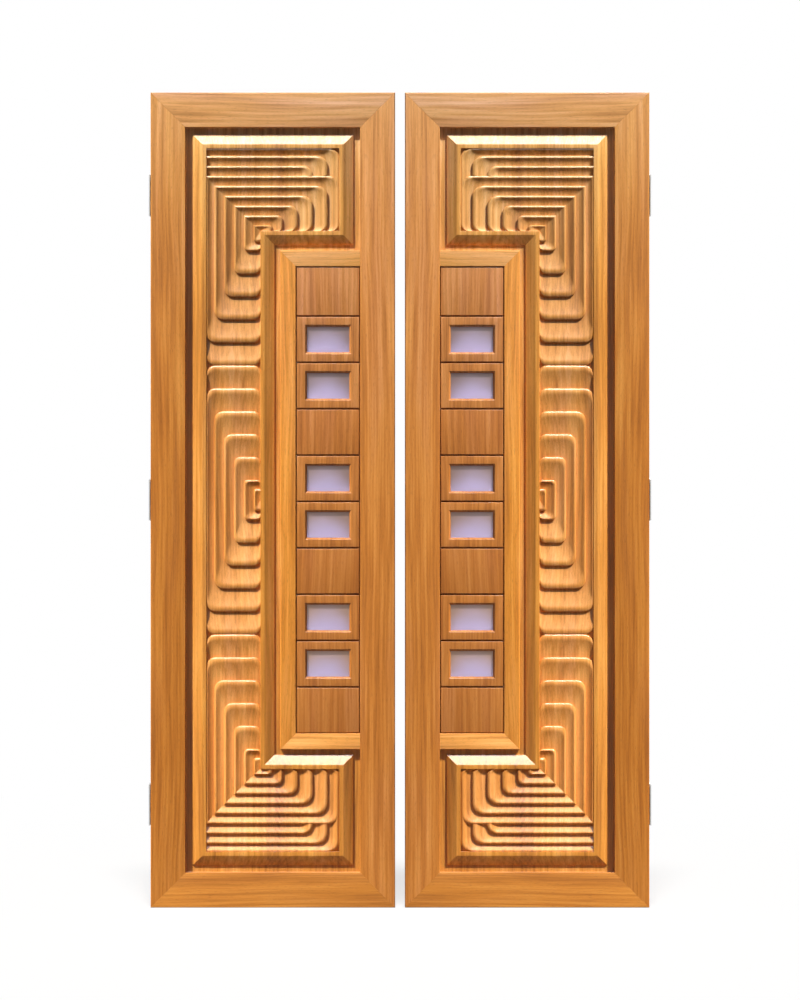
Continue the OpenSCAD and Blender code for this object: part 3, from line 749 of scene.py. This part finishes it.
def carving_tree(material):
    """Geometry nodes that lift the plan of the terraces to their section."""
    tree = bpy.data.node_groups.new("carved_terraces", "GeometryNodeTree")
    tree.interface.new_socket("Geometry", in_out="OUTPUT", socket_type="NodeSocketGeometry")
    tree.interface.new_socket("Plan", in_out="INPUT", socket_type="NodeSocketGeometry")
    for name in SECTION:
        tree.interface.new_socket(name, in_out="INPUT", socket_type="NodeSocketFloat")
    net = Net(tree)
    net.node("NodeGroupInput")
    entry = tree.nodes[-1].outputs
    plan, floor, crest, foot, roll_w, roll_share, roll_d, hollow = [
        Wire(net, entry[name]) for name in ("Plan", *SECTION)]

    def stated(name, kind):
        return net.node("GeometryNodeInputNamedAttribute", {"data_type": kind}, {"Name": name})

    inner, outer = stated("inner", "FLOAT_VECTOR"), stated("outer", "FLOAT_VECTOR")
    rise, roll, start = (stated(name, "FLOAT") for name in ("rise", "roll", "start"))
    span = outer - inner
    width = net.node("ShaderNodeVectorMath", {"operation": "LENGTH"}, {0: span}, "Value")
    nose = net.maths("MINIMUM", roll_w, width * roll_share)
    over = 1 - (1 - roll) * (1 - roll)
    reach = rise * (width - nose) + nose * over
    climb = reach / net.maths("MAXIMUM", width - nose * 0.5, TINY)
    climb = net.maths("MINIMUM", start + (1 - start) * climb, 1.0)
    drop = roll_d * (over ** ROLL_POWER * 0.5 + roll * roll * 0.5)
    height = net.maths("MINIMUM", foot + (crest - foot) * climb ** hollow, crest - drop)
    place = inner + span * (reach / net.maths("MAXIMUM", width, TINY))
    lifted = net.node("GeometryNodeSetPosition", None,
                      {"Geometry": plan, "Position": place + net.join(0.0, 0.0 - floor - height, 0.0)})
    # The hollow attribute is painted shade at the foot of each rise; matt only changes roughness and
    # coat
    for name, value in (("hollow", 1 - net.ease(climb, 0.0, SHADED_CLIMB)),
                        ("matt", 1 - net.ease(roll, 0.0, POLISH_TURN) * POLISH)):
        lifted = net.node("GeometryNodeStoreNamedAttribute", {"data_type": "FLOAT", "domain": "POINT"},
                          {"Geometry": lifted, "Name": name, "Value": value})
    real = net.node("GeometryNodeRealizeInstances", None, {"Geometry": lifted})
    dressed = net.node("GeometryNodeSetMaterial", None, {"Geometry": real, "Material": material})
    net.node("NodeGroupOutput", None, {0: dressed})
    return tree


def close_below(bm, level):
    """Closes open shells with a copy of their own plan, laid flat at the level, and a skirt."""
    rim = [tuple(e.verts) for e in bm.edges if e.is_boundary]
    made = bmesh.ops.duplicate(bm, geom=bm.verts[:] + bm.edges[:] + bm.faces[:])
    below = made["vert_map"]
    bmesh.ops.reverse_faces(bm, faces=[g for g in made["geom"] if isinstance(g, bmesh.types.BMFace)])
    for vert in (g for g in made["geom"] if isinstance(g, bmesh.types.BMVert)):
        vert.co.y = level
    for one, two in rim:
        bm.faces.new((one, two, below[two], below[one]))


def terrace_plans(carving):
    """The groups of terraces: their paths, their origin, which way is up, and whether from an eye."""
    inner_edge = BAR_EDGE - carving.field_notch
    eye = [Vector((0, 0))]
    corner = [carving.corner_path(j) for j in range(CORNER_CRESTS)]
    middle = [carving.middle_path(j) for j in range(ARM_CRESTS)]
    closing = [carving.closing_path(j) for j in (ARM_CRESTS - 1, ARM_CRESTS)]
    upper = [carving.upper_path(i) for i in range(-1, UPPER_CRESTS)]
    centre = (inner_edge, MID_Z)
    plans = [([eye * len(middle[0])] + middle, centre, 1, True)]
    for flip in (1, -1):
        origin = (inner_edge, MID_Z + flip * carving.mouth_h)
        plans += [([eye * len(corner[0])] + corner, origin, flip, True),
                  (closing, origin, flip, False), (upper, origin, flip, False),
                  (closing, centre, flip, False)]
    return plans


def plan_mesh(plans):
    """The flat plans in one mesh, with the number of its shell on every point."""
    bm = bmesh.new()
    points, edges = bm.verts.layers, bm.edges.layers
    kinds = {"inner": points.float_vector, "outer": points.float_vector, "rise": points.float,
             "roll": points.float, "start": points.float, "shell": points.int, "mitre": edges.int}
    for name, kind in kinds.items():
        kind.new(name)
    layers = {name: kind[name] for name, kind in kinds.items()}
    for number, terraces in enumerate(plans, 1):
        terrace_plan(bm, layers, *terraces)
        for vert in (v for v in bm.verts if not v[layers["shell"]]):
            vert[layers["shell"]] = number
    mesh = bpy.data.meshes.new("terrace_plan")
    bm.to_mesh(mesh)
    bm.free()
    return mesh


def lifted_mesh(plan, s, material):
    """A plain mesh of the plan, lifted to its section by the nodes."""
    maker = new_object("terrace_maker", plan)
    tree = carving_tree(material)
    modifier = maker.modifiers.new("Carving", "NODES")
    modifier.node_group = tree
    values = dict(zip(SECTION, (-PANEL_LOW.y - s.carve_d, s.crest_h, s.foot_h, s.roll_w, s.roll_share,
                                s.roll_d, s.hollow)))
    for item in tree.interface.items_tree:
        if item.in_out == "INPUT" and item.name in values:
            modifier[item.identifier] = values[item.name]
    mesh = bpy.data.meshes.new_from_object(maker.evaluated_get(bpy.context.evaluated_depsgraph_get()))
    maker.modifiers.clear()
    bpy.data.objects.remove(maker)
    return mesh


def carved_field(carving, material):
    """The terraces of one panel as a mesh of closed shells in u, Y and z."""
    s = carving.s
    plans = terrace_plans(carving)
    mesh = lifted_mesh(plan_mesh(plans), s, material)
    bm = bmesh.new()
    bm.from_mesh(mesh)
    shell = bm.verts.layers.int["shell"]
    for number in range(1, len(plans) + 1):
        bmesh.ops.remove_doubles(bm, verts=[v for v in bm.verts if v[shell] == number], dist=MERGE)
    bmesh.ops.dissolve_degenerate(bm, edges=bm.edges, dist=MERGE)
    bmesh.ops.split_edges(bm, edges=[e for e in bm.edges if len(e.link_faces) > 2])
    close_below(bm, PANEL_LOW.y + s.carve_d + s.root)
    bmesh.ops.dissolve_degenerate(bm, edges=bm.edges, dist=MERGE)
    bmesh.ops.recalc_face_normals(bm, faces=bm.faces)
    mitre = bm.edges.layers.int["mitre"]
    soften(bm, SMOOTH_CARVED, [e for e in bm.edges if e[mitre]])
    bm.to_mesh(mesh)
    bm.free()
    return mesh


def rounded_section(section, r):
    """A section of (edge, notch, y) points whose inner points are rounded over the length r."""
    points = [Vector(p) for p in section]
    made = [points[0]]
    for before, at, after in zip(points, points[1:], points[2:]):
        back, on = before - at, after - at
        cut = min(r, back.length * CUT_SHARE, on.length * CUT_SHARE)
        first, last = at + back.normalized() * cut, at + on.normalized() * cut
        for k in range(ARRIS_STEPS + 1):
            t = k / ARRIS_STEPS
            made.append(first * (1 - t) ** 2 + at * 2 * t * (1 - t) + last * t ** 2)
    return made + [points[-1]]


def panel_body(carving):
    """The C-shaped board as a closed mesh in u, Y and z: tongue, bevels, rim and carving's pocket."""
    s = carving.s
    core, face = s.core_t / 2, -PANEL_LOW.y
    tongue, lip = (TONGUE_EDGE, -TONGUE_L), (FRAME_W, 0)
    foot = (carving.foot_edge, s.inner_channel_w)
    brow = (foot[0] + s.bevel_w, foot[1] + s.bevel_w)
    field = (carving.field_edge, carving.field_notch)
    floor = core - s.channel_d
    step = floor + s.bevel_step
    front = rounded_section([(*tongue, -core), (*lip, -core), (*lip, -floor), (*foot, -floor),
                             (*foot, -step), (*brow, -face), (*field, -face),
                             (*field, s.carve_d - face)], s.arris_r)
    back = rounded_section([(*tongue, core), (*foot, core), (*foot, step), (*brow, face),
                            (*field, face)], s.arris_r)[:-1]
    bm = bmesh.new()
    channel = bm.verts.layers.float.new("channel")

    def loop(edge, notch, y):
        return [bm.verts.new((u, y, z)) for u, z in carving.c_outline(edge, notch)]

    front_loops = [loop(*p) for p in front]
    back_loops = [loop(*p) for p in back]
    # Marks the channel floors for their painted shade
    for vert in (v for ring in front_loops for v in ring if v.co.y > -core - s.arris_r):
        vert[channel] = 1
    rings = back_loops[::-1] + front_loops
    for a, b in zip(rings, rings[1:]):
        for i in range(len(a)):
            n = (i + 1) % len(a)
            bm.faces.new((a[i], a[n], b[n], b[i]))
    bm.faces.new(front_loops[-1])
    bm.faces.new(back_loops[-1])
    bmesh.ops.recalc_face_normals(bm, faces=bm.faces)
    mitres = [bm.edges.get(pair) for a, b in zip(rings, rings[1:]) for pair in zip(a, b)]
    soften(bm, SMOOTH_PANEL, mitres)
    mesh = bpy.data.meshes.new("panel_body")
    bm.to_mesh(mesh)
    bm.free()
    return mesh


class DOOR_OT_frames(bpy.types.Operator):
    """Dress the stiles and rails of both leaves in teak"""

    bl_idname = "door.frames"
    bl_label = "Stiles and rails"

    STILE_TINTS = {"hinge_stile": (1.07, 0.985, 0.615), "meeting_stile": (1.0, 0.94, 0.74)}
    RAIL_TINTS = {"top_rail": (1.27, 1.31, 1.26), "bottom_rail": (1.03, 1.03, 0.76)}

    def execute(self, context):
        for side in SIDES:
            for name, tint in self.STILE_TINTS.items():
                dress(side, name, tint=tint)
            for name, tint in self.RAIL_TINTS.items():
                dress(side, name, level=True, tint=tint)
        return {"FINISHED"}


class DOOR_OT_panels(bpy.types.Operator):
    """Carve the C-shaped panels of both leaves"""

    bl_idname = "door.panels"
    bl_label = "Carved panels"

    BODY_TINT = Vector((1.25, 1.33, 1.0))
    LOW_TINT, HIGH_TINT = Vector((1.40, 1.48, 1.57)), Vector((1.08, 1.24, 1.12))

    def field_tint(self, z):
        """Darker towards the top of the leaf."""
        return self.LOW_TINT.lerp(self.HIGH_TINT, (z / LEAF_H) ** 2)

    def execute(self, context):
        carving = Carving(context.scene.door_carving)
        material = teak()
        field, body = carved_field(carving, material), panel_body(carving)
        for side, sign in SIDES.items():
            node = f"{side}_carved_panel"
            bm = bmesh.new()
            for part in (body, field):
                bm.from_mesh(part)
            for vert in bm.verts:
                vert.co.x = sign * (HINGE_EDGE - vert.co.x)
            if sign > 0:
                bmesh.ops.reverse_faces(bm, faces=bm.faces)
            mesh = bpy.data.meshes.new(node)
            bm.to_mesh(mesh)
            bm.free()
            piece = new_object(f"{node}_teak", mesh)
            grained(piece, node, False, self.BODY_TINT)
            tints = piece.data.attributes["tint"].data
            for vert in piece.data.vertices[len(body.vertices):]:
                tints[vert.index].color = (*self.field_tint(vert.co.z), 1)
            settle(piece, side, node, material)
        return {"FINISHED"}


class DOOR_OT_inner_frames(bpy.types.Operator):
    """Dress the bars of the inner frames"""

    bl_idname = "door.inner_frames"
    bl_label = "Inner frames"

    SIDE_TINT = (1.48, 1.47, 1.0)
    LEVEL_TINTS = {"inner_top_bar": (1.50, 1.74, 1.70), "inner_bottom_bar": (1.62, 1.86, 2.2)}

    def execute(self, context):
        for side in SIDES:
            dress(side, "inner_side_bar", tint=self.SIDE_TINT)
            for name, tint in self.LEVEL_TINTS.items():
                dress(side, name, level=True, tint=tint)
        return {"FINISHED"}


class DOOR_OT_blocks(bpy.types.Operator):
    """Dress the columns of plain and glazed blocks"""

    bl_idname = "door.blocks"
    bl_label = "Blocks"

    PLAIN, WINDOWS = 4, 6
    LOW_TINT, HIGH_TINT = Vector((0.92, 0.83, 0.68)), Vector((1.02, 1.02, 1.20))
    WINDOW_TINT = Vector((1.05, 1.10, 1.25))
    BEAD_TINT = (1.05, 1.05, 1.05)
    # Chance in a block's tone, how much the lowest ones darken, and how late either end's colour comes
    CHANCE, DARKENING, LATENESS = (0.96, 1.04), 0.2, 4

    def tint(self, name):
        """Darker and yellower down the column, pinker at its top, with a little chance."""
        low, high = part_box("left_" + name)
        up = ((low.z + high.z) / 2 - BAR_LOW.z) / (BAR_HIGH.z - BAR_LOW.z)
        chance = random.Random("tint of " + name).uniform(*self.CHANCE)
        value = chance - self.DARKENING * (1 - up) ** self.LATENESS
        tint = self.LOW_TINT.lerp(self.HIGH_TINT, up ** self.LATENESS) * value
        return tint * self.WINDOW_TINT if name.startswith("window") else tint

    def execute(self, context):
        names = [f"plain_block_{i + 1}" for i in range(self.PLAIN)]
        names += [f"window_block_{i + 1}" for i in range(self.WINDOWS)]
        for name in names:
            for side in SIDES:
                dress(side, name, tint=self.tint(name))
        for side in SIDES:
            dress(side, "glazing_beads", tint=self.BEAD_TINT)
        return {"FINISHED"}


class DOOR_OT_panes(bpy.types.Operator):
    """Frost the panes"""

    bl_idname = "door.panes"
    bl_label = "Panes"

    COUNT = 6

    @staticmethod
    def across(x, low, high):
        """From 0 at a pane's hinge side to 1 at its meeting side."""
        near, far = max(abs(low), abs(high)), min(abs(low), abs(high))
        return (near - abs(x)) / (near - far)

    def execute(self, context):
        glass = frosted_glass()
        for side in SIDES:
            for i in range(self.COUNT):
                node = f"{side}_glass_pane_{i + 1}"
                piece = new_object(f"{node}_frosted", eased_mesh(node, context.scene.door_pane.ease))
                low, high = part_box(node)
                # Where each point lies on its pane, for the glass's painted shade
                place = piece.data.attributes.new("place", "FLOAT_VECTOR", "POINT").data
                for vert in piece.data.vertices:
                    rise = (vert.co.z - low.z) / (high.z - low.z)
                    place[vert.index].vector = (self.across(vert.co.x, low.x, high.x), rise, 0)
                settle(piece, side, node, glass)
        return {"FINISHED"}


class DOOR_OT_hinges(bpy.types.Operator):
    """Finish the hinges and their screws in satin steel"""

    bl_idname = "door.hinges"
    bl_label = "Hinges"

    NAMES = ("hinge_plates", "hinge_screws", "jamb_plates", "hinge_pins")

    def execute(self, context):
        steel = satin_steel()
        for side in SIDES:
            for name in self.NAMES:
                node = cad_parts[f"{side}_{name}"]
                node.data.materials.clear()
                node.data.materials.append(steel)
        return {"FINISHED"}


# How far the lamps stand from the origin
LAMP_DISTANCE = 4


def aimed(name, source, strength, width, receivers):
    """A sun lamp that shines from a direction, and looks so many degrees wide, on some pieces only."""
    lamp = bpy.data.lights.new(name, "SUN")
    lamp.energy = strength
    lamp.angle = math.radians(width)
    made = bpy.data.objects.new(name, lamp)
    made.rotation_mode = "QUATERNION"
    made.rotation_quaternion = Vector(source).to_track_quat("Z", "Y")
    made.location = Vector(source) * LAMP_DISTANCE
    bpy.context.scene.collection.objects.link(made)
    made.light_linking.receiver_collection = receivers
    return made


class DOOR_OT_stage(bpy.types.Operator):
    """Set the floor, the studio light and the camera"""

    bl_idname = "door.stage"
    bl_label = "Stage"

    # Where each light comes from, and how wide it looks, in degrees. The right leaf's are given.
    KEY, KEY_WIDTH = (0.46, -0.42, 0.785), 4
    GLOSS, GLOSS_WIDTH = (0.10, -0.616, 0.788), 30
    BACK, BACK_WIDTH = (0.35, 0.72, 0.60), 20
    FLOOR, FLOOR_WIDTH = (0.0, -0.40, 0.92), 12
    FLOOR_RADIUS, FLOOR_DROP = 30, 0.001
    # Colour of the floor for the light that it throws back, and as it is seen
    FLOOR_BOUNCE, FLOOR_SEEN = (0.75, 0.62, 0.45, 1), (0.86, 0.86, 0.85, 1)
    # How much of the seen floor is plain white by the door, and between which distances it becomes all
    PLAIN_WHITE, NEAR, FAR = 0.70, 0.7, 3.2

    def execute(self, context):
        stage = context.scene.door_stage
        context.scene.view_settings.view_transform = "Standard"
        floor = self.floor()
        self.world(context, stage)
        self.lights(stage, floor)
        self.camera(context, stage)
        return {"FINISHED"}

    @staticmethod
    def seen(net):
        """1 for rays from the camera and those that mirror or pass through."""
        net.node("ShaderNodeLightPath")
        path = net.tree.nodes[-1].outputs
        seen = Wire(net, path["Is Camera Ray"])
        for name in ("Is Glossy Ray", "Is Transmission Ray"):
            seen = net.maths("MAXIMUM", seen, Wire(net, path[name]))
        return seen

    def world(self, context, stage):
        """A world that is seen white and lights the door a little."""
        world = bpy.data.worlds.new("studio")
        world.use_nodes = True
        context.scene.world = world
        net = Net(world.node_tree)
        strength = stage.ambient + self.seen(net) * (1.0 - stage.ambient)
        light = net.node("ShaderNodeBackground", None, {"Color": (1, 1, 1, 1), "Strength": strength})
        net.node("ShaderNodeOutputWorld", None, {"Surface": light})

    def floor(self):
        """A pale round floor that keeps the door's shadow."""
        bm = bmesh.new()
        bmesh.ops.create_circle(bm, cap_ends=True, segments=96, radius=self.FLOOR_RADIUS)
        mesh = bpy.data.meshes.new("floor")
        bm.to_mesh(mesh)
        bm.free()
        mesh.transform(Matrix.Translation((0, 0, -self.FLOOR_DROP)))
        floor = new_object("floor", mesh)
        material, net = material_net("pale_floor")
        place = net.node("ShaderNodeTexCoord", None, None, "Object")
        away = net.node("ShaderNodeVectorMath", {"operation": "LENGTH"}, {0: place}, "Value")
        white = self.PLAIN_WHITE + net.ease(away, self.NEAR, self.FAR) * (1 - self.PLAIN_WHITE)
        seen = self.seen(net)
        matt = net.node("ShaderNodeBsdfDiffuse", None,
                        {"Color": net.mix(seen, self.FLOOR_BOUNCE, self.FLOOR_SEEN)})
        glow = net.node("ShaderNodeEmission", None, {"Color": (1, 1, 1, 1), "Strength": seen})
        both = net.node("ShaderNodeMixShader", None, {0: white, 1: matt, 2: glow})
        net.node("ShaderNodeOutputMaterial", None, {"Surface": both})
        mesh.materials.append(material)
        floor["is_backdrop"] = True
        return floor

    def lights(self, stage, floor):
        """Mirrored lights on the leaves, and those on backs and floor."""
        leaves = bpy.data.collections.new("both_leaves")
        for side, sign in SIDES.items():
            lit = bpy.data.collections.new(f"{side}_side")
            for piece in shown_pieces():
                if piece.name.startswith(side):
                    lit.objects.link(piece)
                    leaves.objects.link(piece)
            x, y, z = self.KEY
            aimed(f"{side}_key", (sign * x, y, z), stage.key, self.KEY_WIDTH, lit)
            x, y, z = self.GLOSS
            gloss = aimed(f"{side}_gloss", (sign * x, y, z), stage.gloss, self.GLOSS_WIDTH, lit)
            gloss.visible_diffuse = False
        aimed("back", self.BACK, stage.back, self.BACK_WIDTH, leaves)
        ground = bpy.data.collections.new("ground")
        ground.objects.link(floor)
        aimed("floor", self.FLOOR, stage.floor, self.FLOOR_WIDTH, ground)

    def camera(self, context, stage):
        """A camera straight in front of the door."""
        data = bpy.data.cameras.new("camera")
        camera = bpy.data.objects.new("camera", data)
        context.scene.collection.objects.link(camera)
        data.sensor_width = stage.sensor
        data.lens = stage.sensor * stage.distance / stage.view_h
        data.clip_end = 100
        camera.location = (0, STILE_LOW.y - stage.distance, MID_Z)
        camera.rotation_euler = (math.radians(90), 0, 0)
        context.scene.camera = camera


class DOOR_PT_sidebar(bpy.types.Panel):
    """Door settings and the steps that dress it"""

    bl_idname = "DOOR_PT_sidebar"
    bl_label = "Carved double door"
    bl_space_type = "VIEW_3D"
    bl_region_type = "UI"
    bl_category = "Door"

    def draw(self, context):
        for operator in OPERATORS:
            self.layout.operator(operator.bl_idname)
        for name, group in GROUPS.items():
            box = self.layout.box()
            box.label(text=group.__doc__)
            for prop in group.__annotations__:
                box.prop(getattr(context.scene, name), prop)


GROUPS = {
    "door_teak": TeakSettings,
    "door_carving": CarvingSettings,
    "door_pane": PaneSettings,
    "door_steel": SteelSettings,
    "door_stage": StageSettings,
}
OPERATORS = (DOOR_OT_frames, DOOR_OT_panels, DOOR_OT_inner_frames, DOOR_OT_blocks, DOOR_OT_panes,
             DOOR_OT_hinges, DOOR_OT_stage)


def register():
    for cls in (*GROUPS.values(), *OPERATORS, DOOR_PT_sidebar):
        bpy.utils.register_class(cls)
    for name, group in GROUPS.items():
        setattr(bpy.types.Scene, name, PointerProperty(type=group))


def unregister():
    for name in GROUPS:
        delattr(bpy.types.Scene, name)
    for cls in (DOOR_PT_sidebar, *reversed(OPERATORS), *reversed(GROUPS.values())):
        bpy.utils.unregister_class(cls)


def main():
    register()
    bpy.ops.door.frames()
    bpy.ops.door.panels()
    bpy.ops.door.inner_frames()
    bpy.ops.door.blocks()
    bpy.ops.door.panes()
    bpy.ops.door.hinges()
    bpy.ops.door.stage()


if __name__ == "__main__":
    main()
